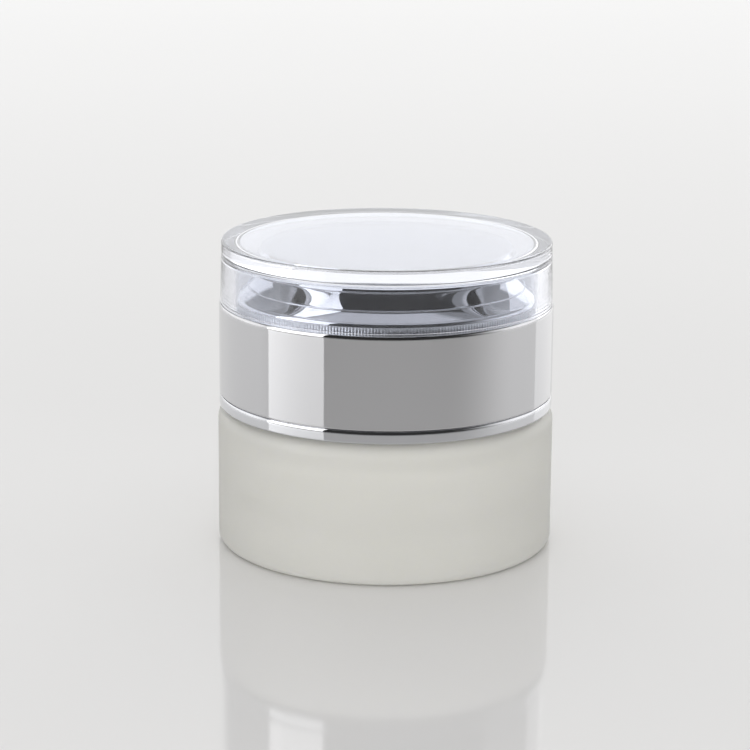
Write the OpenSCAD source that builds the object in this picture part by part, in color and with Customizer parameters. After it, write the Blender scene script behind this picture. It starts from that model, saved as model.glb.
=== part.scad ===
// Cream jar: a thick frosted glass jar under a layered screw lid.
// The lid is a clear cover over a flared mirror-finish shell, a metal sleeve
// round the shell, and a threaded inner cap with a loose foam liner.
// Millimetres, +Z up, origin at the centre of the jar's base.

/* [Glass jar] */
// Outer diameter of the glass body
jar_d = 61.3; // [50:0.1:76]
// Height of the glass body up to its shoulder
body_h = 25.5; // [20:0.1:36]
// Thickness of the glass side wall
glass_wall = 4.6; // [3.6:0.1:6]
// Thickness of the glass floor
floor_t = 6.5; // [4.5:0.1:9]
// Radius of the outer rounding of the shoulder
shoulder_r = 2.6; // [1:0.1:3.2]
// Radius of the outer rounding of the heel
heel_r = 1.5; // [0.8:0.1:3]
// Radius between the cavity's floor and its wall
cavity_r = 7; // [3:0.5:8]
// Height of the hollow pressed into the underside
pushup_h = 0.6; // [0.3:0.1:1.2]
// Width of the ring that the jar stands on
stand_w = 5; // [3:0.5:8]

/* [Neck and thread] */
// Wall of the neck behind the thread
neck_wall = 3.3; // [2.4:0.1:4.4]
// Radius of the lip's outer edge
lip_r = 0.8; // [0.4:0.1:1.2]
// Plain neck between the lip and the thread's upper end
lip_h = 2.2; // [1.5:0.1:3.2]
// How far the glass thread stands out of the neck
thread_h = 1.2; // [0.8:0.1:1.5]
// Distance along the axis between neighbouring turns
thread_pitch = 4; // [3.2:0.1:5]
// Number of separate thread starts
thread_starts = 2; // [1:1:2]
// Turns that each start makes
thread_turns = 0.6; // [0.4:0.05:0.8]
// Width of a thread at its root, along the axis
thread_root_w = 2.4; // [1.8:0.1:2.6]
// Width of a thread at its tip, along the axis
thread_tip_w = 1.1; // [0.6:0.1:1.4]
// Play along the axis between the two threads
thread_play = 0.15; // [0.1:0.05:0.3]
// Play between the glass thread and the cap's bore
thread_clear = 0.5; // [0.3:0.1:0.8]

/* [Inner disc] */
// Thickness of the disc's walls, floor and rim
disc_t = 0.7; // [0.5:0.1:1]
// Depth of the dish below the rim
dish_h = 2.4; // [2.2:0.1:3.4]
// Play between the dish and the mouth of the jar
disc_clear = 0.15; // [0.1:0.05:0.3]
// Outer diameter of the pull ring
ring_d = 16; // [12:0.5:20]
// Width of the pull ring's band
ring_w = 2.6; // [2:0.1:3.5]

/* [Lid] */
// How far the lid stands inside the glass body's side
lid_step = 0.25; // [0.1:0.05:1]
// Gap between the lid and the glass shoulder
lid_gap = 0.25; // [0.2:0.05:0.6]
// Height of the shell's foot ring below the sleeve
foot_h = 2.2; // [1.6:0.1:3.2]
// Height of the metal sleeve
sleeve_h = 16.8; // [13.8:0.05:20]
// Thickness of the metal sleeve
sleeve_t = 0.6; // [0.5:0.1:0.8]
// Radius of the rolled edges of the sleeve and of the foot ring's top
sleeve_edge_r = 0.5; // [0.2:0.05:0.5]
// Wall of the mirror-finish shell
shell_t = 1.2; // [0.9:0.1:1.6]
// Wall of the threaded cap
cap_t = 1.5; // [1.2:0.1:2]
// Thickness of the threaded cap's top
cap_top_t = 1.4; // [1:0.1:2]
// Height of the cap's skirt edge above the lid's lower edge
cap_lift_h = 0.5; // [0.3:0.1:1.2]
// Thickness of the foam liner
liner_t = 1; // [0.8:0.1:1.5]
// Play round and above the foam liner
liner_clear = 0.05; // [0.05:0.05:0.2]

/* [Clear cover] */
// Height of the clear cover
cover_h = 11.3; // [9.4:0.1:14]
// Thickness of the cover's top
cover_top_t = 2.8; // [2.3:0.1:4.2]
// Wall of the cover at its lower edge
cover_wall = 2.65; // [2:0.05:3.4]
// How far the cover's side leans in over its height
cover_draft = 0.26; // [0:0.02:0.5]
// Radius of the cover's top edge
cover_edge_r = 0.5; // [0.2:0.05:1]
// Radius inside the cover, between its wall and its top
cover_inner_r = 1.1; // [0.5:0.1:1.5]
// How far the cover's side stands inside the sleeve
cover_step = 0.24; // [0.1:0.02:0.4]
// Air gap between the cover's top and the mirror disc
mirror_gap = 0.8; // [0.5:0.1:2]

/* [Mirror flare] */
// Angle between the axis and the flare's upper end, at the mirror disc
flare_top_angle = 17.5; // [10:0.5:30]
// Angle between the axis and the flare's lower end, at the seat ring
flare_foot_angle = 53.5; // [40:0.5:60]
// Height of the seat ring's upright side, which the cover fits round
seat_h = 1; // [0.6:0.1:1.5]
// Radius between the seat ring's side and the flare
seat_edge_r = 1.05; // [0.5:0.05:1.2]
// Gap between the seat ring and the cover's wall
seat_gap = 0.25; // [0.15:0.05:0.5]

/* [Hidden] */

// Small roundings and the curves' fineness
lip_in_r = 0.6;
neck_foot_r = 0.8;
well_lip_r = 1;
edge_r = 0.3;
bury = 0.5;
fade = 0.12;
thread_step = 6;
back_turn = 20;
arc_n = 10;
$fn = 120;

// Radii, from the glass side inwards
jar_r = jar_d / 2;
lid_r = jar_r - lid_step;
sleeve_in_r = lid_r - sleeve_t;
shell_in_r = sleeve_in_r - shell_t;
cap_in_r = shell_in_r - cap_t;
thread_r = cap_in_r - thread_clear;
neck_r = thread_r - thread_h;
mouth_r = neck_r - neck_wall;
well_r = jar_r - glass_wall;
cap_thread_r = thread_r - (thread_h - thread_clear);
cover_r = lid_r - cover_step;
cover_in_r = cover_r - cover_wall;
seat_r = cover_in_r - seat_gap;

// Heights, from the shoulder upwards
lid_z = body_h + lid_gap;
sleeve_z = lid_z + foot_h;
deck_z = sleeve_z + sleeve_h;
top_z = deck_z + cover_h;
mirror_z = top_z - cover_top_t - mirror_gap;
cap_z = deck_z - shell_t;
ceiling_z = cap_z - cap_top_t;
liner_z = ceiling_z - liner_clear - liner_t;
rim_z = liner_z - liner_clear;
mouth_z = rim_z - disc_t;
well_top_z = body_h - glass_wall;

// Mirror flare: a hollow curve from the rounded disc edge down to the rounded seat ring
flare_top_z = mirror_z - edge_r * (1 - sin(flare_top_angle));
flare_foot_z = deck_z + seat_h + seat_edge_r * sin(flare_foot_angle);
flare_foot_r = seat_r - seat_edge_r * (1 - cos(flare_foot_angle));
flare_r = (flare_top_z - flare_foot_z) / (sin(flare_foot_angle) - sin(flare_top_angle));
flare_x = flare_foot_r + flare_r * cos(flare_foot_angle);
flare_y = flare_foot_z + flare_r * sin(flare_foot_angle);
mirror_r = flare_x - flare_r * cos(flare_top_angle) - edge_r * cos(flare_top_angle);

// Thread helix: height gained in one turn, and where each thread starts
lead = thread_pitch * thread_starts;
thread_z = mouth_z - lip_h - thread_root_w / 2 - lead * thread_turns;
flank = (thread_root_w - thread_tip_w) / 2 / thread_h;
engaged_half = thread_root_w / 2 - flank * (cap_thread_r - neck_r);
cap_thread_z = thread_z - engaged_half - thread_tip_w / 2 - thread_play;

// The cap's thread starts a little before the glass one, above the cap's foot
cap_root_half = thread_tip_w / 2 + flank * (thread_h + bury);
cap_foot_z = lid_z + cap_lift_h;
cap_turn_from = max(-back_turn, (cap_foot_z + edge_r + cap_root_half - cap_thread_z) * 360 / lead);

// Points of an arc about [x, y] from angle a to angle b
function arc(x, y, r, a, b) =
    [for (i = [0:arc_n]) let(t = a + (b - a) * i / arc_n) [x + r * cos(t), y + r * sin(t)]];

// Solid turned about Z from a closed outline of [radius, height] points
module turned(outline) {
    rotate_extrude() polygon(outline);
}

// Flat ring between two radii
module ring(outer, inner, height) {
    difference() {
        cylinder(r = outer, h = height);
        translate([0, 0, -height]) cylinder(r = inner, h = 3 * height);
    }
}

// Four corners of a thread's section at angle a along the helix
function thread_section(root_r, tip_r, root_half, tip_half, z, a) =
    [for (p = [[root_r, -root_half], [tip_r, -tip_half], [tip_r, tip_half], [root_r, root_half]])
        [p[0] * cos(a), p[0] * sin(a), z + lead * a / 360 + p[1]]];

// One thread: a trapezoid swept along the helix, sunk into its wall at the root
// and fading into the wall at both ends
module helix_thread(root_r, tip_r, root_half, tip_half, z, from, to) {
    n = ceil((to - from) / thread_step);
    out = sign(tip_r - root_r);
    sunk_r = root_r - out * bury;
    shy_r = root_r - out * bury / 2;
    points = [for (i = [0:n])
        let(t = i / n, rise = min(1, t / fade, (1 - t) / fade))
        each thread_section(sunk_r, shy_r + rise * (tip_r - shy_r), root_half, tip_half,
            z, from + (to - from) * t)];
    sides = [for (i = [0:n - 1]) for (j = [0:3])
        let(a = 4 * i + j, b = 4 * i + (j + 1) % 4)
        each [[a, b, b + 4], [a, b + 4, a + 4]]];
    ends = [[0, 2, 1], [0, 3, 2], [4 * n, 4 * n + 1, 4 * n + 2], [4 * n, 4 * n + 2, 4 * n + 3]];
    outward = concat(sides, ends);
    polyhedron(points, out > 0 ? outward : [for (f = outward) [f[2], f[1], f[0]]]);
}

module all_starts() {
    for (s = [0:thread_starts - 1]) rotate([0, 0, 360 * s / thread_starts]) children();
}

// Thick frosted glass jar with its threaded neck
module frosted_jar() {
    stand_r = jar_r - heel_r - stand_w;
    step_r = well_r - mouth_r - well_lip_r;
    outside = concat(
        [[0, pushup_h], [stand_r - 2 * pushup_h, pushup_h], [stand_r, 0]],
        arc(jar_r - heel_r, heel_r, heel_r, -90, 0),
        arc(jar_r - shoulder_r, body_h - shoulder_r, shoulder_r, 0, 90),
        arc(neck_r + neck_foot_r, body_h + neck_foot_r, neck_foot_r, 270, 180),
        arc(neck_r - lip_r, mouth_z - lip_r, lip_r, 0, 90));
    inside = concat(
        arc(mouth_r + lip_in_r, mouth_z - lip_in_r, lip_in_r, 90, 180),
        arc(mouth_r + well_lip_r, well_top_z + well_lip_r, well_lip_r, 180, 270),
        arc(mouth_r + well_lip_r, well_top_z - step_r, step_r, 90, 0),
        arc(well_r - cavity_r, floor_t + cavity_r, cavity_r, 0, -90),
        [[0, floor_t]]);
    color("whitesmoke") union() {
        turned(concat(outside, inside));
        all_starts() helix_thread(neck_r, thread_r, thread_root_w / 2 + flank * bury,
            thread_tip_w / 2, thread_z, 0, 360 * thread_turns);
    }
}

// Shallow plastic dish that covers the cream, with a pull ring
module inner_disc() {
    dish_r = mouth_r - disc_clear;
    rim_r = neck_r - lip_r;
    dish_z = rim_z - dish_h;
    foot_z = dish_z - 2 * disc_t;
    color("white") union() {
        turned([[0, dish_z - disc_t], [dish_r - disc_t, dish_z - disc_t],
                [dish_r - disc_t, foot_z], [dish_r - edge_r, foot_z], [dish_r, foot_z + edge_r],
                [dish_r, mouth_z], [rim_r, mouth_z], [rim_r, rim_z],
                [dish_r - disc_t, rim_z], [dish_r - disc_t, dish_z], [0, dish_z]]);
        translate([0, 0, rim_z - 2 * disc_t])
            ring(ring_d / 2, ring_d / 2 - ring_w, disc_t);
        // post that carries the pull ring
        translate([-ring_d / 2, -ring_w, dish_z - disc_t / 2])
            cube([ring_w, 2 * ring_w, rim_z - 2 * disc_t - dish_z + disc_t]);
    }
}

// Loose foam disc that seals the lid
module seal_liner() {
    color("white")
        translate([0, 0, liner_z])
        cylinder(r = cap_in_r - 4 * liner_clear, h = liner_t);
}

// Plastic inner cap that carries the thread
module threaded_cap() {
    color("white") union() {
        turned([[0, cap_z], [shell_in_r, cap_z], [shell_in_r, cap_foot_z],
                [cap_in_r + edge_r, cap_foot_z], [cap_in_r, cap_foot_z + edge_r],
                [cap_in_r, ceiling_z], [0, ceiling_z]]);
        all_starts() helix_thread(cap_in_r, cap_thread_r, cap_root_half, thread_tip_w / 2,
            cap_thread_z, cap_turn_from, 360 * thread_turns - back_turn);
    }
}

// Mirror-finish shell: disc and flare under the cover, seat ring, deck, skirt and foot ring
module mirror_shell() {
    inner_flare_r = flare_r + shell_t;
    inner_top_angle = asin((flare_y - mirror_z + shell_t) / inner_flare_r);
    inner_foot_r = flare_x - inner_flare_r * cos(flare_foot_angle);
    color("silver")
        turned(concat(
            [[0, mirror_z]],
            arc(mirror_r, mirror_z - edge_r, edge_r, 90, flare_top_angle),
            arc(flare_x, flare_y, flare_r, 180 + flare_top_angle, 180 + flare_foot_angle),
            arc(seat_r - seat_edge_r, deck_z + seat_h, seat_edge_r, flare_foot_angle, 0),
            [[seat_r, deck_z], [sleeve_in_r, deck_z], [sleeve_in_r, sleeve_z]],
            arc(lid_r - sleeve_edge_r, sleeve_z - sleeve_edge_r, sleeve_edge_r, 90, 0),
            arc(lid_r - edge_r, lid_z + edge_r, edge_r, 0, -90),
            [[shell_in_r, lid_z], [shell_in_r, cap_z], [inner_foot_r, cap_z]],
            arc(flare_x, flare_y, inner_flare_r, 180 + flare_foot_angle, 180 + inner_top_angle),
            [[0, mirror_z - shell_t]]));
}

// Polished metal sleeve round the shell's skirt
module aluminium_sleeve() {
    color("gainsboro")
        turned(concat(
            arc(lid_r - sleeve_edge_r, sleeve_z + sleeve_edge_r, sleeve_edge_r, -90, 0),
            arc(lid_r - sleeve_edge_r, deck_z - sleeve_edge_r, sleeve_edge_r, 0, 90),
            [[sleeve_in_r, deck_z], [sleeve_in_r, sleeve_z]]));
}

// Thick clear cover over the mirror disc
module clear_cover() {
    top_r = cover_r - cover_draft;
    inner_z = top_z - cover_top_t;
    color("aliceblue", 0.4)
        turned(concat(
            [[cover_in_r, deck_z], [cover_r, deck_z]],
            arc(top_r - cover_edge_r, top_z - cover_edge_r, cover_edge_r, 0, 90),
            [[0, top_z], [0, inner_z]],
            arc(cover_in_r - cover_inner_r, inner_z - cover_inner_r, cover_inner_r, 90, 0)));
}

frosted_jar();
inner_disc();
seal_liner();
threaded_cap();
mirror_shell();
aluminium_sleeve();
clear_cover();
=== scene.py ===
import math

import bmesh
import bpy
from mathutils import Matrix, Vector


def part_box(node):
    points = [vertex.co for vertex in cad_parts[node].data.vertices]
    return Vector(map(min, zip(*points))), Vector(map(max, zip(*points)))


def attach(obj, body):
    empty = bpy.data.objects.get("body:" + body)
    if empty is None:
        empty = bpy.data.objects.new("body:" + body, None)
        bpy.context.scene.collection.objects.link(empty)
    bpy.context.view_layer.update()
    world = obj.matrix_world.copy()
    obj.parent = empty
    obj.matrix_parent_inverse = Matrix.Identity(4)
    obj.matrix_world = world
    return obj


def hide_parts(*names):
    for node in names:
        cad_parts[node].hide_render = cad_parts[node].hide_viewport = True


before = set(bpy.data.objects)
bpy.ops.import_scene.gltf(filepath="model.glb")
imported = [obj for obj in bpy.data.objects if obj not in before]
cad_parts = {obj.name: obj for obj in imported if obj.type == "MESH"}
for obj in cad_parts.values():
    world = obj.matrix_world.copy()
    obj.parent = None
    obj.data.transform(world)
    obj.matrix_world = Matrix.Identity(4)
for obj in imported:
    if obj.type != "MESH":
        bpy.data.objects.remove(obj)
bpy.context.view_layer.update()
print("frame loaded")

scene = bpy.context.scene
mm = 0.001  # outlines are drawn in millimetres and scaled to metres at the end


def linear(hexColour):  # "#rrggbb" as the eye sees it, to the linear values a shader takes
    parts = [int(hexColour[i:i + 2], 16) / 255 for i in (1, 3, 5)]
    return [c / 12.92 if c <= 0.04045 else ((c + 0.055) / 1.055) ** 2.4 for c in parts] + [1.0]


def addNode(tree, kind, inputs=None, **settings):
    node = tree.nodes.new(kind)
    for name, value in settings.items():
        setattr(node, name, value)
    for socket, value in (inputs or {}).items():
        if isinstance(value, bpy.types.NodeSocket):
            tree.links.new(value, node.inputs[socket])
        else:
            node.inputs[socket].default_value = value
    return node


def newMaterial(name):
    material = bpy.data.materials.new(name)
    material.use_nodes = True
    material.node_tree.nodes.clear()
    return material, material.node_tree


# steps round the axis, segments of a rounding, length in mm of the cuts that hold flats flat, and the
# angle from which an edge is a sharp one
turning = {"steps": 224, "filletSegments": 8, "holdingEdge": 0.05, "sharpAngle": 34}
near = 0.01  # a face this near a surface lies on it


def roundCorner(bm, corner, radius):
    before, after = (edge.other_vert(corner).co - corner.co for edge in corner.link_edges)
    turn = math.pi - before.angle(after)
    bmesh.ops.bevel(bm, geom=[corner], offset=radius * math.tan(turn / 2), offset_type="OFFSET",
                    segments=turning["filletSegments"], profile=0.5, affect="VERTICES",
                    material=-1, clamp_overlap=False)


def drawOutline(bm, outline, closed):  # outline: [radius, height, rounding] corners in mm
    corners = [bm.verts.new((radius, 0, height)) for radius, height, rounding in outline]
    for first, second in zip(corners, corners[1:]):
        bm.edges.new((first, second))
    if closed:
        bm.edges.new((corners[-1], corners[0]))
    for corner, (radius, height, rounding) in zip(corners, outline):
        if rounding:
            roundCorner(bm, corner, rounding)


def arc(centreRadius, centreHeight, radius, fromAngle, toAngle, steps, tall=None):
    # outline corners along an arc, or along an ellipse whose upright half axis is tall
    corners = []
    for step in range(steps + 1):
        angle = math.radians(fromAngle + (toAngle - fromAngle) * step / steps)
        height = centreHeight + (tall or radius) * math.sin(angle)
        corners.append([centreRadius + radius * math.cos(angle), height, 0])
    return corners


def holdEdges(bm, shortest=1.0):  # a cut close to both ends of each long stretch keeps flats flat
    hold = turning["holdingEdge"]
    for edge in [e for e in bm.edges if e.calc_length() > shortest]:
        start, end = edge.verts
        bmesh.utils.edge_split(edge, start, hold / edge.calc_length())
        bmesh.utils.edge_split(edge, end, hold / edge.calc_length())


def cleanMesh(bm):
    bmesh.ops.remove_doubles(bm, verts=bm.verts[:], dist=0.0005)
    bmesh.ops.recalc_face_normals(bm, faces=bm.faces[:])


def turned(outline, closed=False, steps=None):
    bm = bmesh.new()
    drawOutline(bm, outline, closed)
    holdEdges(bm)
    bmesh.ops.spin(bm, geom=bm.verts[:] + bm.edges[:], cent=(0, 0, 0), axis=(0, 0, 1), dvec=(0, 0, 0),
                   angle=2 * math.pi, steps=steps or turning["steps"], use_merge=True,
                   use_normal_flip=False, use_duplicate=False)
    cleanMesh(bm)
    return bm


def toObject(bm, name, materials):  # millimetres to metres, then a mesh object at the origin
    bmesh.ops.scale(bm, vec=(mm, mm, mm), verts=bm.verts[:])
    mesh = bpy.data.meshes.new(name)
    bm.to_mesh(mesh)
    bm.free()
    for material in materials:
        mesh.materials.append(material)
    piece = bpy.data.objects.new(name, mesh)
    scene.collection.objects.link(piece)
    return piece


def unite(piece, extra):  # extra becomes part of piece
    modifier = piece.modifiers.new("union", "BOOLEAN")
    modifier.operation = "UNION"
    modifier.solver = "EXACT"
    modifier.object = extra
    evaluated = piece.evaluated_get(bpy.context.evaluated_depsgraph_get())
    mesh = bpy.data.meshes.new_from_object(evaluated)
    piece.modifiers.clear()
    piece.data = mesh
    bpy.data.objects.remove(extra)


def smoothFinish(piece):  # smooth faces, with the true corners kept sharp
    bm = bmesh.new()
    bm.from_mesh(piece.data)
    for face in bm.faces:
        face.smooth = True
    limit = math.radians(turning["sharpAngle"])
    for edge in bm.edges:
        edge.smooth = len(edge.link_faces) == 2 and edge.calc_face_angle(0) < limit
    bm.to_mesh(piece.data)
    bm.free()


def paint(bm, slotOf):  # slotOf says which material slot the face at this radius and height takes
    for face in bm.faces:
        centre = face.calc_center_median()
        face.material_index = int(slotOf(math.hypot(centre.x, centre.y), centre.z))


def place(piece, body, node):
    smoothFinish(piece)
    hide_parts(node)
    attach(piece, body)
    print("made", piece.name, len(piece.data.polygons), "faces")


def span(node):  # outer radius, lowest and highest point of a turned node, in millimetres
    low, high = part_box(node)
    return high.x / mm, low.z / mm, high.z / mm


jarRadius, jarFoot, mouthHeight = span("frosted_jar")
discRadius, discFoot, rimHeight = span("inner_disc")
linerRadius, linerFoot, linerTop = span("seal_liner")
capRadius, capFoot, capTop = span("threaded_cap")
lidRadius, lidFoot, mirrorHeight = span("mirror_shell")
sleeveRadius, sleeveFoot, deckHeight = span("aluminium_sleeve")
coverRadius, coverFoot, topHeight = span("clear_cover")

viewpoint = {"lensMm": 121.25, "distance": 0.4482, "height": 0.1446, "pitch": 14.29, "turn": 0.25,
             "roll": 0.43}


def makeCamera():
    data = bpy.data.cameras.new("camera")
    data.lens = viewpoint["lensMm"]
    data.clip_start = 0.01
    camera = bpy.data.objects.new("camera", data)
    camera.matrix_world = (
        Matrix.Translation((0, -viewpoint["distance"], viewpoint["height"]))
        @ Matrix.Rotation(math.radians(viewpoint["turn"]), 4, "Z")
        @ Matrix.Rotation(math.radians(90 - viewpoint["pitch"]), 4, "X")
        @ Matrix.Rotation(math.radians(viewpoint["roll"]), 4, "Z")
    )
    scene.collection.objects.link(camera)
    scene.camera = camera


makeCamera()
scene.view_settings.view_transform = "Standard"  # the colours come out as they are lit
scene.cycles.glossy_bounces = 12                 # light runs back and forth between cover and mirror
print("camera placed")

floorSheet = {"halfWidth": 5.0, "colour": "#eeedec", "roughness": 0.07}


def whiteAcrylicSheet():  # cast white acrylic: pale, with a soft reflection that grows towards the horizon
    material, tree = newMaterial("white_acrylic_sheet")
    shader = addNode(tree, "ShaderNodeBsdfPrincipled", {
        "Base Color": linear(floorSheet["colour"]),
        "Roughness": floorSheet["roughness"],
        "IOR": 1.49,
    })
    addNode(tree, "ShaderNodeOutputMaterial", {"Surface": shader.outputs["BSDF"]})
    return material


floorMesh = bmesh.new()
bmesh.ops.create_grid(floorMesh, x_segments=4, y_segments=4, size=floorSheet["halfWidth"] / mm)
floor = toObject(floorMesh, "floor", [whiteAcrylicSheet()])
print("floor laid")

studio = {
    "backRadiance": 1.2,      # the white wall behind the object
    "sideLowRadiance": 1.5,   # its two ends are bright near the floor
    "sideHighRadiance": 0.4,  # and dimmer above, where the lamps reach less
    "ceilingRadiance": 0.95,
    "frontRadiance": 0.04,    # the dim room behind the camera
    "ceilingSlope": 0.62,     # the ceiling's front edge, as depth over height seen from the object
    # where one surface gives way to the next, in parts of a unit direction from the object
    "lowToHigh": [0.27, 0.35],
    "backToSide": [0.35, 0.6],
    "wallToCeiling": [0.7, 0.85],
    "lowFade": [-0.6, 0.3],     # low down, the sides darken slowly towards the camera
    "highFade": [-0.02, 0.05],  # higher up they end at the ceiling's edge
}


def studioWalls():
    lowest, highest = studio["lowToHigh"]
    world = bpy.data.worlds.new("studio")
    world.use_nodes = True
    tree = world.node_tree
    tree.nodes.clear()
    direction = addNode(tree, "ShaderNodeTexCoord")
    axes = addNode(tree, "ShaderNodeSeparateXYZ", {"Vector": direction.outputs["Generated"]})
    sideways = addNode(tree, "ShaderNodeMath", {0: axes.outputs["X"]}, operation="ABSOLUTE")
    side = addNode(tree, "ShaderNodeMapRange", {
        "Value": axes.outputs["Z"], "From Min": lowest, "From Max": highest,
        "To Min": studio["sideLowRadiance"], "To Max": studio["sideHighRadiance"],
    }, interpolation_type="SMOOTHSTEP")
    wall = addNode(tree, "ShaderNodeMapRange", {
        "Value": sideways.outputs[0],
        "From Min": studio["backToSide"][0], "From Max": studio["backToSide"][1],
        "To Min": studio["backRadiance"], "To Max": side.outputs["Result"],
    }, interpolation_type="SMOOTHSTEP")
    towardsTop = addNode(tree, "ShaderNodeMapRange", {
        "Value": axes.outputs["Z"],
        "From Min": studio["wallToCeiling"][0], "From Max": studio["wallToCeiling"][1],
    }, interpolation_type="SMOOTHSTEP")
    room = addNode(tree, "ShaderNodeMix", {
        0: towardsTop.outputs["Result"], 2: wall.outputs["Result"], 3: studio["ceilingRadiance"],
    }, data_type="FLOAT")
    depth = addNode(tree, "ShaderNodeMath", {
        0: axes.outputs["Z"], 1: studio["ceilingSlope"], 2: axes.outputs["Y"],
    }, operation="MULTIPLY_ADD")
    fadeStart = addNode(tree, "ShaderNodeMapRange", {
        "Value": axes.outputs["Z"], "From Min": lowest, "From Max": highest,
        "To Min": studio["lowFade"][0], "To Max": studio["highFade"][0],
    })
    fadeEnd = addNode(tree, "ShaderNodeMapRange", {
        "Value": axes.outputs["Z"], "From Min": lowest, "From Max": highest,
        "To Min": studio["lowFade"][1], "To Max": studio["highFade"][1],
    })
    lit = addNode(tree, "ShaderNodeMapRange", {
        "Value": depth.outputs[0],
        "From Min": fadeStart.outputs["Result"], "From Max": fadeEnd.outputs["Result"],
    }, interpolation_type="SMOOTHSTEP")
    strength = addNode(tree, "ShaderNodeMix", {
        0: lit.outputs["Result"], 2: studio["frontRadiance"], 3: room.outputs[0],
    }, data_type="FLOAT")
    background = addNode(tree, "ShaderNodeBackground", {
        "Color": linear("#ffffff"), "Strength": strength.outputs[0],
    })
    addNode(tree, "ShaderNodeOutputWorld", {"Surface": background.outputs["Background"]})
    scene.world = world


studioWalls()

# azimuth is from the camera's side towards +X, in degrees; distances and sizes in metres
softboxes = {
    # two boxes that only polished surfaces show
    "leftSoftbox": {"azimuth": -63, "away": 0.55, "height": 0.335, "width": 0.44, "tall": 0.61,
                    "radiance": 2.2, "mirrored": True},
    "rightSoftbox": {"azimuth": 140, "away": 0.60, "height": 0.38, "width": 0.40, "tall": 0.68,
                     "radiance": 0.9, "mirrored": True},
    # a fill that only matt surfaces show, as light bounced about the room
    "frontFill": {"azimuth": 0, "away": 1.0, "height": 0.20, "width": 3.0, "tall": 0.4,
                  "radiance": 3.7, "mirrored": False},
}


def makeSoftbox(name, box):
    data = bpy.data.lights.new(name, "AREA")
    data.shape = "RECTANGLE"
    data.size = box["width"]
    data.size_y = box["tall"]
    data.energy = box["radiance"] * math.pi * box["width"] * box["tall"]
    angle = math.radians(box["azimuth"])
    centre = Vector((box["away"] * math.sin(angle), -box["away"] * math.cos(angle), box["height"]))
    facing = Vector((-centre.x, -centre.y, 0)).to_track_quat("-Z", "Y")
    light = bpy.data.objects.new(name, data)
    light.matrix_world = Matrix.Translation(centre) @ facing.to_matrix().to_4x4()
    light.visible_camera = False
    light.visible_diffuse = not box["mirrored"]
    light.visible_glossy = box["mirrored"]
    light.visible_transmission = box["mirrored"]
    scene.collection.objects.link(light)


for boxName, box in softboxes.items():
    makeSoftbox(boxName, box)
print("lights set")

thread = {"height": 1.2, "pitch": 4.0, "starts": 2, "turns": 0.6, "rootWidth": 2.4, "tipWidth": 1.1,
          "play": 0.15, "clearance": 0.5, "buried": 0.5, "fade": 0.12, "crestRounding": 0.2, "belowLip": 2.2}
lead = thread["pitch"] * thread["starts"]
flankSlope = (thread["rootWidth"] - thread["tipWidth"]) / 2 / thread["height"]


def threadRib(rootRadius, tipRadius, foot, fromAngle, toAngle, startAngle):
    # a rounded trapezoid swept up a helix, sunk into its wall and fading into it at both ends
    outward = math.copysign(1, tipRadius - rootRadius)
    sunkRadius = rootRadius - outward * thread["buried"]
    rootHalf = thread["tipWidth"] / 2 + flankSlope * (abs(tipRadius - rootRadius) + thread["buried"])
    tipHalf = thread["tipWidth"] / 2
    bm = bmesh.new()
    drawOutline(bm, [
        [sunkRadius, foot - rootHalf, 0],
        [tipRadius, foot - tipHalf, thread["crestRounding"]],
        [tipRadius, foot + tipHalf, thread["crestRounding"]],
        [sunkRadius, foot + rootHalf, 0],
    ], closed=True)
    sweep = toAngle - fromAngle
    steps = math.ceil(sweep / 3)
    startFace = bmesh.ops.contextual_create(bm, geom=bm.edges[:])["faces"]
    rise = lead * sweep / 360 / steps
    bmesh.ops.spin(bm, geom=startFace, cent=(0, 0, 0), axis=(0, 0, 1), dvec=(0, 0, rise),
                   angle=math.radians(sweep), steps=steps, use_merge=False,
                   use_normal_flip=False, use_duplicate=False)
    for vert in bm.verts:
        radius = math.hypot(vert.co.x, vert.co.y)
        along = ((math.degrees(math.atan2(vert.co.y, vert.co.x)) + 1) % 360 - 1) / sweep
        fade = min(1, min(along, abs(1 - along)) / thread["fade"])
        shyRadius = rootRadius - outward * thread["buried"] / 2
        limit = shyRadius + fade * (tipRadius - shyRadius)
        beyond = (radius - limit) * outward
        if beyond > 0:
            vert.co.x *= limit / radius
            vert.co.y *= limit / radius
    cleanMesh(bm)
    bmesh.ops.rotate(bm, cent=(0, 0, 0), matrix=Matrix.Rotation(math.radians(fromAngle + startAngle), 3, "Z"),
                     verts=bm.verts[:])
    return bm


threadedCap = {"wall": 1.5, "topThickness": 1.4, "edge": 0.3, "backTurn": 20.0, "colour": "#f1f0ed",
               "colourDeep": "#ebeae6", "roughness": 0.32}
capBore = capRadius - threadedCap["wall"]
threadRadius = capBore - thread["clearance"]
neckRadius = threadRadius - thread["height"]
threadFoot = mouthHeight - thread["belowLip"] - thread["rootWidth"] / 2 - lead * thread["turns"]


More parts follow.
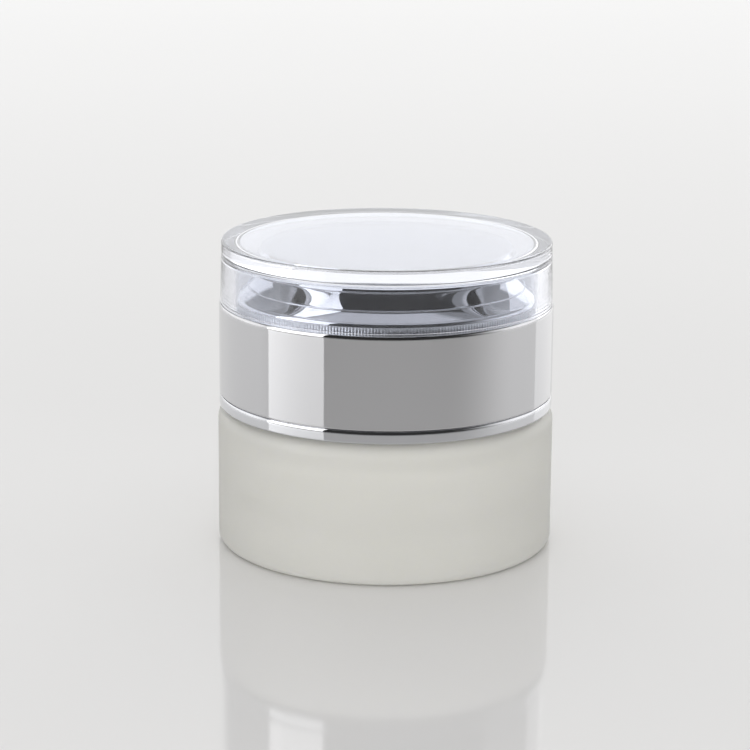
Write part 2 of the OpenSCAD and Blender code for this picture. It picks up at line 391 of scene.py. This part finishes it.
def mouldedPolypropylene(name, settings):  # PP: milky white, a waxy shine and a fine spark-eroded grain
    material, tree = newMaterial(name)
    point = addNode(tree, "ShaderNodeTexCoord").outputs["Object"]
    grain = addNode(tree, "ShaderNodeTexNoise", {"Vector": point, "Scale": 1 / (0.12 * mm), "Detail": 3.0})
    flow = addNode(tree, "ShaderNodeTexNoise", {"Vector": point, "Scale": 1 / (6.0 * mm), "Detail": 2.0})
    colour = addNode(tree, "ShaderNodeMix", {
        0: flow.outputs["Fac"], 6: linear(settings["colour"]), 7: linear(settings["colourDeep"]),
    }, data_type="RGBA")
    shine = addNode(tree, "ShaderNodeMapRange", {
        "Value": grain.outputs["Fac"], "From Min": 0.3, "From Max": 0.7,
        "To Min": settings["roughness"] - 0.05, "To Max": settings["roughness"] + 0.05,
    })
    surface = addNode(tree, "ShaderNodeBump", {"Height": grain.outputs["Fac"], "Distance": 0.004 * mm})
    shader = addNode(tree, "ShaderNodeBsdfPrincipled", {
        "Base Color": colour.outputs[2],
        "Roughness": shine.outputs["Result"],
        "IOR": 1.49,
        "Subsurface Weight": 0.15,
        "Subsurface Radius": (1.0, 0.9, 0.8),
        "Subsurface Scale": 0.8 * mm,
        "Normal": surface.outputs["Normal"],
    })
    addNode(tree, "ShaderNodeOutputMaterial", {"Surface": shader.outputs["BSDF"]})
    return material


def makeThreadedCap():
    sizes = threadedCap
    ceiling = capTop - sizes["topThickness"]
    ribRadius = capBore - thread["height"]
    rootHalf = thread["tipWidth"] / 2 + flankSlope * (thread["height"] + thread["buried"])
    engagedHalf = thread["rootWidth"] / 2 - flankSlope * (ribRadius - neckRadius)
    ribFoot = threadFoot - engagedHalf - thread["tipWidth"] / 2 - thread["play"]
    fromAngle = max(-sizes["backTurn"], (capFoot + sizes["edge"] + rootHalf - ribFoot) * 360 / lead)
    toAngle = 360 * thread["turns"] - sizes["backTurn"]
    plastic = mouldedPolypropylene("moulded_polypropylene_cap", sizes)
    cap = toObject(turned([
        [0, capTop, 0],
        [capRadius, capTop, 0.2],
        [capRadius, capFoot, 0.15],
        [capBore, capFoot, sizes["edge"]],
        [capBore, ceiling, 0.4],
        [0, ceiling, 0],
    ]), "threadedCap", [plastic])
    for start in range(thread["starts"]):
        rib = threadRib(capBore, ribRadius, ribFoot + lead * fromAngle / 360, fromAngle, toAngle,
                        360 * start / thread["starts"])
        unite(cap, toObject(rib, "rib", [plastic]))
    place(cap, "lid", "threaded_cap")


makeThreadedCap()

frostedJar = {"lidGap": 0.25, "wall": 4.6, "floor": 6.5, "pushUp": 0.6, "standWidth": 5.0, "neckWall": 3.3,
              "heelRounding": 1.5, "shoulderRounding": 2.6, "neckFootRounding": 0.8, "lipRounding": 0.8,
              "lipInnerRounding": 0.6, "ledgeRounding": 1.0, "ledgeUnderRounding": 3.0, "cavityRounding": 7.0,
              "colour": "#f5f4ee", "colourDeep": "#f2f1ea", "roughness": 0.5, "transmission": 0.34,
              "bleed": 0.4, "bleedMm": 2.5}


def acidEtchedGlass():  # soda-lime glass etched in acid: a soft white skin with the light bleeding through it
    material, tree = newMaterial("acid_etched_glass")
    point = addNode(tree, "ShaderNodeTexCoord").outputs["Object"]
    grain = addNode(tree, "ShaderNodeTexNoise", {"Vector": point, "Scale": 1 / (0.25 * mm), "Detail": 3.0})
    cloud = addNode(tree, "ShaderNodeTexNoise", {"Vector": point, "Scale": 1 / (9.0 * mm), "Detail": 2.0})
    colour = addNode(tree, "ShaderNodeMix", {
        0: cloud.outputs["Fac"], 6: linear(frostedJar["colour"]), 7: linear(frostedJar["colourDeep"]),
    }, data_type="RGBA")
    surface = addNode(tree, "ShaderNodeBump", {"Height": grain.outputs["Fac"], "Distance": 0.01 * mm})
    shader = addNode(tree, "ShaderNodeBsdfPrincipled", {
        "Base Color": colour.outputs[2],
        "Roughness": frostedJar["roughness"],
        "IOR": 1.52,
        "Transmission Weight": frostedJar["transmission"],
        "Subsurface Weight": frostedJar["bleed"],
        "Subsurface Radius": (1.0, 1.0, 0.9),
        "Subsurface Scale": frostedJar["bleedMm"] * mm,
        "Normal": surface.outputs["Normal"],
    })
    addNode(tree, "ShaderNodeOutputMaterial", {"Surface": shader.outputs["BSDF"]})
    return material


def pressedGlass():  # the fire-polished inside of pressed glass: clear, with a faint ripple from the plunger
    material, tree = newMaterial("pressed_glass")
    point = addNode(tree, "ShaderNodeTexCoord").outputs["Object"]
    ripple = addNode(tree, "ShaderNodeTexNoise", {"Vector": point, "Scale": 1 / (7.0 * mm), "Detail": 2.0})
    surface = addNode(tree, "ShaderNodeBump", {"Height": ripple.outputs["Fac"], "Distance": 0.05 * mm})
    shader = addNode(tree, "ShaderNodeBsdfPrincipled", {
        "Base Color": linear(frostedJar["colour"]),
        "Roughness": 0.12,
        "IOR": 1.52,
        "Transmission Weight": 0.9,
        "Normal": surface.outputs["Normal"],
    })
    addNode(tree, "ShaderNodeOutputMaterial", {"Surface": shader.outputs["BSDF"]})
    return material


def makeFrostedJar():
    sizes = frostedJar
    shoulder = lidFoot - sizes["lidGap"]
    standRadius = jarRadius - sizes["heelRounding"] - sizes["standWidth"]
    mouthRadius = neckRadius - sizes["neckWall"]
    wellRadius = jarRadius - sizes["wall"]
    wellTop = shoulder - sizes["wall"]
    bm = turned([
        [0, sizes["pushUp"], 0],
        [standRadius - 2 * sizes["pushUp"], sizes["pushUp"], 0.5],
        [standRadius, jarFoot, 0.5],
        [jarRadius, jarFoot, sizes["heelRounding"]],
        [jarRadius, shoulder, sizes["shoulderRounding"]],
        [neckRadius, shoulder, sizes["neckFootRounding"]],
        [neckRadius, mouthHeight, sizes["lipRounding"]],
        [mouthRadius, mouthHeight, sizes["lipInnerRounding"]],
        [mouthRadius, wellTop, sizes["ledgeRounding"]],
        [wellRadius, wellTop, sizes["ledgeUnderRounding"]],
        [wellRadius, sizes["floor"], sizes["cavityRounding"]],
        [0, sizes["floor"], 0],
    ])
    insideFoot = sizes["floor"] - near
    insideTop = mouthHeight - sizes["lipInnerRounding"]
    paint(bm, lambda radius, height: (
        radius < wellRadius + near and insideFoot < height < insideTop
        and not (radius > neckRadius - 0.5 and height > shoulder)))
    jar = toObject(bm, "frostedJar", [acidEtchedGlass(), pressedGlass()])
    for start in range(thread["starts"]):
        rib = threadRib(neckRadius, threadRadius, threadFoot, 0, 360 * thread["turns"],
                        360 * start / thread["starts"])
        unite(jar, toObject(rib, "rib", jar.data.materials))
    place(jar, "jar", "frosted_jar")


makeFrostedJar()

innerDisc = {"thickness": 0.7, "dishDepth": 2.4, "play": 0.15, "rounding": 0.3, "ringDiameter": 16.0,
             "ringWidth": 2.6, "colour": "#f3f2ee", "colourDeep": "#eeede8", "roughness": 0.34}


def makeInnerDisc():
    sizes = innerDisc
    thickness = sizes["thickness"]
    dishRadius = neckRadius - frostedJar["neckWall"] - sizes["play"]
    dishFloor = rimHeight - sizes["dishDepth"]
    plastic = mouldedPolypropylene("moulded_polypropylene_disc", sizes)
    disc = toObject(turned([
        [0, dishFloor - thickness, 0],
        [dishRadius - thickness, dishFloor - thickness, 0.2],
        [dishRadius - thickness, discFoot, 0.2],
        [dishRadius, discFoot, sizes["rounding"]],
        [dishRadius, mouthHeight, 0.15],
        [discRadius, mouthHeight, 0.2],
        [discRadius, rimHeight, sizes["rounding"]],
        [dishRadius - thickness, rimHeight, sizes["rounding"]],
        [dishRadius - thickness, dishFloor, 0.5],
        [0, dishFloor, 0],
    ]), "innerDisc", [plastic])
    outer = sizes["ringDiameter"] / 2
    inner = outer - sizes["ringWidth"]
    ringTop = rimHeight - thickness
    ring = turned([
        [outer, ringTop - thickness, 0.2],
        [outer, ringTop, 0.25],
        [inner, ringTop, 0.25],
        [inner, ringTop - thickness, 0.2],
    ], closed=True, steps=96)
    unite(disc, toObject(ring, "ring", [plastic]))
    post = bmesh.new()
    postFoot = dishFloor - thickness / 2
    postTop = ringTop - thickness / 3
    bmesh.ops.create_cube(post, size=1)
    postSize = (sizes["ringWidth"] - 0.1, 2 * sizes["ringWidth"], postTop - postFoot)
    bmesh.ops.scale(post, vec=postSize, verts=post.verts[:])
    bmesh.ops.translate(post, vec=(-outer + sizes["ringWidth"] / 2 + 0.1, 0, (postTop + postFoot) / 2),
                        verts=post.verts[:])
    upright = [e for e in post.edges if abs(e.verts[0].co.z - e.verts[1].co.z) > thickness]
    bmesh.ops.bevel(post, geom=upright, offset=0.5, offset_type="OFFSET", segments=4, profile=0.5,
                    affect="EDGES", material=-1)
    unite(disc, toObject(post, "post", [plastic]))
    place(disc, "disc", "inner_disc")


makeInnerDisc()

sealLiner = {"rounding": 0.15, "colour": "#f6f6f4", "colourDeep": "#ebebe8", "cellMm": 0.45}


def expandedPolyethylene():  # closed-cell PE foam: matt white, with its cells just showing as tiny domes
    material, tree = newMaterial("expanded_polyethylene_foam")
    point = addNode(tree, "ShaderNodeTexCoord").outputs["Object"]
    cells = addNode(tree, "ShaderNodeTexVoronoi", {
        "Vector": point, "Scale": 1 / (sealLiner["cellMm"] * mm), "Randomness": 0.9,
    }, feature="F1")
    colour = addNode(tree, "ShaderNodeMix", {
        0: cells.outputs["Distance"], 6: linear(sealLiner["colour"]), 7: linear(sealLiner["colourDeep"]),
    }, data_type="RGBA")
    domes = addNode(tree, "ShaderNodeBump", {
        "Height": cells.outputs["Distance"], "Distance": 0.05 * mm,
    }, invert=True)
    shader = addNode(tree, "ShaderNodeBsdfPrincipled", {
        "Base Color": colour.outputs[2],
        "Roughness": 0.62,
        "IOR": 1.45,
        "Normal": domes.outputs["Normal"],
    })
    addNode(tree, "ShaderNodeOutputMaterial", {"Surface": shader.outputs["BSDF"]})
    return material


def makeSealLiner():
    sizes = sealLiner
    liner = toObject(turned([
        [0, linerTop, 0],
        [linerRadius, linerTop, sizes["rounding"]],
        [linerRadius, linerFoot, sizes["rounding"]],
        [0, linerFoot, 0],
    ]), "sealLiner", [expandedPolyethylene()])
    place(liner, "liner", "seal_liner")


makeSealLiner()

clearCover = {"topThickness": 2.8, "wall": 2.65, "draft": 0.26, "topEdge": 0.5, "innerRounding": 1.1,
              "footEdge": 0.12, "seat": 0.03, "footRoughness": 0.3, "tint": "#edeff5"}
coverBore = coverRadius - clearCover["wall"]


def mouldedAcrylic(name, roughness):  # injection-moulded PMMA: water-clear, its skin very slightly uneven
    material, tree = newMaterial(name)
    point = addNode(tree, "ShaderNodeTexCoord").outputs["Object"]
    skin = addNode(tree, "ShaderNodeTexNoise", {"Vector": point, "Scale": 1 / (9.0 * mm), "Detail": 2.0})
    surface = addNode(tree, "ShaderNodeBump", {"Height": skin.outputs["Fac"], "Distance": 0.002 * mm})
    shader = addNode(tree, "ShaderNodeBsdfPrincipled", {
        "Base Color": linear(clearCover["tint"]),
        "Roughness": roughness,
        "IOR": 1.49,
        "Transmission Weight": 1.0,
        "Normal": surface.outputs["Normal"],
    })
    addNode(tree, "ShaderNodeOutputMaterial", {"Surface": shader.outputs["BSDF"]})
    return material


def makeClearCover():
    sizes = clearCover
    foot = deckHeight + sizes["seat"]
    innerTop = topHeight - sizes["topThickness"]
    bm = turned([
        [0, topHeight, 0],
        [coverRadius - sizes["draft"], topHeight, sizes["topEdge"]],
        [coverRadius, foot, sizes["footEdge"]],
        [coverBore, foot, sizes["footEdge"]],
        [coverBore, innerTop, sizes["innerRounding"]],
        [0, innerTop, 0],
    ], steps=256)
    paint(bm, lambda radius, height: height < foot + near)
    polished = mouldedAcrylic("polished_acrylic", 0.0)
    matt = mouldedAcrylic("matt_acrylic", sizes["footRoughness"])
    cover = toObject(bm, "clearCover", [polished, matt])
    place(cover, "lid", "clear_cover")


makeClearCover()

polishedSleeve = {"wall": 0.6, "rolledDepth": 0.5, "rolledHeight": 1.0, "rolledTo": 45, "footEdge": 0.25,
                  "seam": 0.15, "colour": "#c7c7c9", "roughness": 0.035}
sleeveBore = sleeveRadius - polishedSleeve["wall"]


def polishedAluminium():  # drawn and buffed sheet: a bright mirror with the faintest ripple round it
    material, tree = newMaterial("polished_aluminium")
    point = addNode(tree, "ShaderNodeTexCoord").outputs["Object"]
    ripple = addNode(tree, "ShaderNodeTexNoise", {"Vector": point, "Scale": 1 / (10.0 * mm), "Detail": 2.0})
    surface = addNode(tree, "ShaderNodeBump", {"Height": ripple.outputs["Fac"], "Distance": 0.003 * mm})
    shader = addNode(tree, "ShaderNodeBsdfPrincipled", {
        "Base Color": linear(polishedSleeve["colour"]),
        "Metallic": 1.0,
        "Roughness": polishedSleeve["roughness"],
        "Normal": surface.outputs["Normal"],
    })
    addNode(tree, "ShaderNodeOutputMaterial", {"Surface": shader.outputs["BSDF"]})
    return material


def rolledEdge(radius, top):  # from the flat top, the edge curves out and down until it is upright
    sizes = polishedSleeve
    drop = sizes["rolledHeight"] * math.sin(math.radians(sizes["rolledTo"]))
    return arc(radius - sizes["rolledDepth"], top - drop, sizes["rolledDepth"], sizes["rolledTo"], 0, 12,
               tall=sizes["rolledHeight"])


def makePolishedSleeve():
    sizes = polishedSleeve
    foot = sleeveFoot + sizes["seam"]
    sleeve = toObject(turned(
        [[sleeveRadius, foot, sizes["footEdge"]]]
        + rolledEdge(sleeveRadius, deckHeight)[::-1]
        + [[sleeveBore, deckHeight, 0], [sleeveBore, foot, 0]],
        closed=True), "polishedSleeve", [polishedAluminium()])
    place(sleeve, "lid", "aluminium_sleeve")


makePolishedSleeve()

mirrorShell = {"wall": 1.2, "discEdge": 0.3, "flareTopAngle": 17.5, "flareFootAngle": 53.5, "seatHeight": 1.0,
               "seatRounding": 1.05, "seatGap": 0.25, "footEdge": 0.3,
               "colour": "#cdced1", "roughness": 0.02}
# the knurl's teeth are real, but its colour is painted lighter than the mirror skin's: painted light on the
# deck and seat ring
knurl = {"inner": 0.35, "outer": 0.7, "pitch": 0.55, "depth": 0.03, "colour": "#e6e7ea", "roughness": 0.28}

# fine raised lines round the flare: how far below the disc, and the radius of their section
flareBeads = [{"below": 1.45, "radius": 0.2}, {"below": 4.3, "radius": 0.15}]


def metallisedPlastic():  # ABS with a vacuum-deposited metal skin: a dark, liquid mirror, very slightly wavy
    material, tree = newMaterial("metallised_plastic")
    point = addNode(tree, "ShaderNodeTexCoord").outputs["Object"]
    wave = addNode(tree, "ShaderNodeTexNoise", {"Vector": point, "Scale": 1 / (8.0 * mm), "Detail": 2.0})
    surface = addNode(tree, "ShaderNodeBump", {"Height": wave.outputs["Fac"], "Distance": 0.004 * mm})
    shader = addNode(tree, "ShaderNodeBsdfPrincipled", {
        "Base Color": linear(mirrorShell["colour"]),
        "Metallic": 1.0,
        "Roughness": mirrorShell["roughness"],
        "Normal": surface.outputs["Normal"],
    })
    addNode(tree, "ShaderNodeOutputMaterial", {"Surface": shader.outputs["BSDF"]})
    return material


def knurledPlasticPaintedLighter():  # the same skin over fine teeth that grip the cover's foot. Its colour is painted lighter than the skin's own, as painted light on the deck and seat ring
    material, tree = newMaterial("knurled_plastic_painted_lighter")
    point = addNode(tree, "ShaderNodeTexCoord").outputs["Object"]
    around = addNode(tree, "ShaderNodeTexGradient", {"Vector": point}, gradient_type="RADIAL")
    teeth = round(2 * math.pi * coverBore / knurl["pitch"])
    turn = addNode(tree, "ShaderNodeMath", {
        0: around.outputs["Fac"], 1: 2 * math.pi * teeth,
    }, operation="MULTIPLY")
    ridge = addNode(tree, "ShaderNodeMath", {0: turn.outputs[0]}, operation="SINE")
    grain = addNode(tree, "ShaderNodeTexNoise", {"Vector": point, "Scale": 1 / (0.3 * mm), "Detail": 3.0})
    ridged = addNode(tree, "ShaderNodeBump", {"Height": ridge.outputs[0], "Distance": knurl["depth"] * mm})
    surface = addNode(tree, "ShaderNodeBump", {
        "Height": grain.outputs["Fac"], "Distance": 0.05 * mm, "Normal": ridged.outputs["Normal"],
    })
    shader = addNode(tree, "ShaderNodeBsdfPrincipled", {
        "Base Color": linear(knurl["colour"]),
        "Metallic": 1.0,
        # painted light: a lighter colour than the mirror skin's own
        "Roughness": knurl["roughness"],
        "Normal": surface.outputs["Normal"],
    })
    addNode(tree, "ShaderNodeOutputMaterial", {"Surface": shader.outputs["BSDF"]})
    return material


def flareOutline(centreRadius, centreHeight, radius, fromAngle, toAngle):
    # the hollow curve, broken by a small round bead at each of the beads' heights
    corners = []
    angle = fromAngle
    for bead in flareBeads:
        sine = (centreHeight - mirrorHeight + bead["below"]) / radius
        middle = math.degrees(math.asin(sine))
        half = math.degrees(bead["radius"] / radius)
        corners += arc(centreRadius, centreHeight, radius, 180 + angle, 180 + middle - half, 12)
        corners += arc(centreRadius - radius * math.cos(math.radians(middle)),
                       centreHeight - radius * math.sin(math.radians(middle)),
                       bead["radius"], 80 + middle, middle - 80, 8)
        angle = middle + half
    return corners + arc(centreRadius, centreHeight, radius, 180 + angle, 180 + toAngle, 24)


def makeMirrorShell():
    sizes = mirrorShell
    topAngle = sizes["flareTopAngle"]
    footAngle = sizes["flareFootAngle"]
    top = math.radians(topAngle)
    foot = math.radians(footAngle)
    discEdge = sizes["discEdge"]
    seatRadius = coverBore - sizes["seatGap"]
    knurledFrom = coverBore + knurl["inner"]
    knurledTo = coverRadius - knurl["outer"]
    flareTop = mirrorHeight - discEdge * (1 - math.sin(top))
    flareFoot = deckHeight + sizes["seatHeight"] + sizes["seatRounding"] * math.sin(foot)
    flareRadius = (flareTop - flareFoot) / (math.sin(foot) - math.sin(top))
    centreRadius = seatRadius - sizes["seatRounding"] * (1 - math.cos(foot)) + flareRadius * math.cos(foot)
    centreHeight = flareFoot + flareRadius * math.sin(foot)
    discCorner = centreRadius - (flareRadius + discEdge) * math.cos(top)
    innerRadius = flareRadius + sizes["wall"]
    innerTop = math.degrees(math.asin((centreHeight - mirrorHeight + sizes["wall"]) / innerRadius))
    bm = turned(
        [[0, mirrorHeight, 0]]
        + arc(discCorner, mirrorHeight - discEdge, discEdge, 90, topAngle, 8)
        + flareOutline(centreRadius, centreHeight, flareRadius, topAngle, footAngle)
        + arc(seatRadius - sizes["seatRounding"], deckHeight + sizes["seatHeight"], sizes["seatRounding"],
              footAngle, 0, 12)
        + [
            [seatRadius, deckHeight, 0],
            [knurledFrom, deckHeight, 0],
            [knurledTo, deckHeight, 0],
            [sleeveBore, deckHeight, 0],
            [sleeveBore, sleeveFoot, 0],
        ]
        + rolledEdge(lidRadius, sleeveFoot)
        + [
            [lidRadius, lidFoot, sizes["footEdge"]],
            [capRadius, lidFoot, 0.1],
            [capRadius, capTop, 0],
            [centreRadius - innerRadius * math.cos(foot), capTop, 0],
        ]
        + arc(centreRadius, centreHeight, innerRadius, 180 + footAngle, 180 + innerTop, 24)
        + [[0, mirrorHeight - sizes["wall"], 0]]
    )
    seatTop = deckHeight + sizes["seatHeight"]
    # the deck's knurled band and the seat ring take the knurled skin, whose lighter colour is painted light
    paint(bm, lambda radius, height: (
        (knurledFrom < radius < knurledTo and abs(height - deckHeight) < near)
        or (abs(radius - seatRadius) < near and deckHeight < height < seatTop)))
    shell = toObject(bm, "mirrorShell", [metallisedPlastic(), knurledPlasticPaintedLighter()])
    place(shell, "lid", "mirror_shell")


makeMirrorShell()
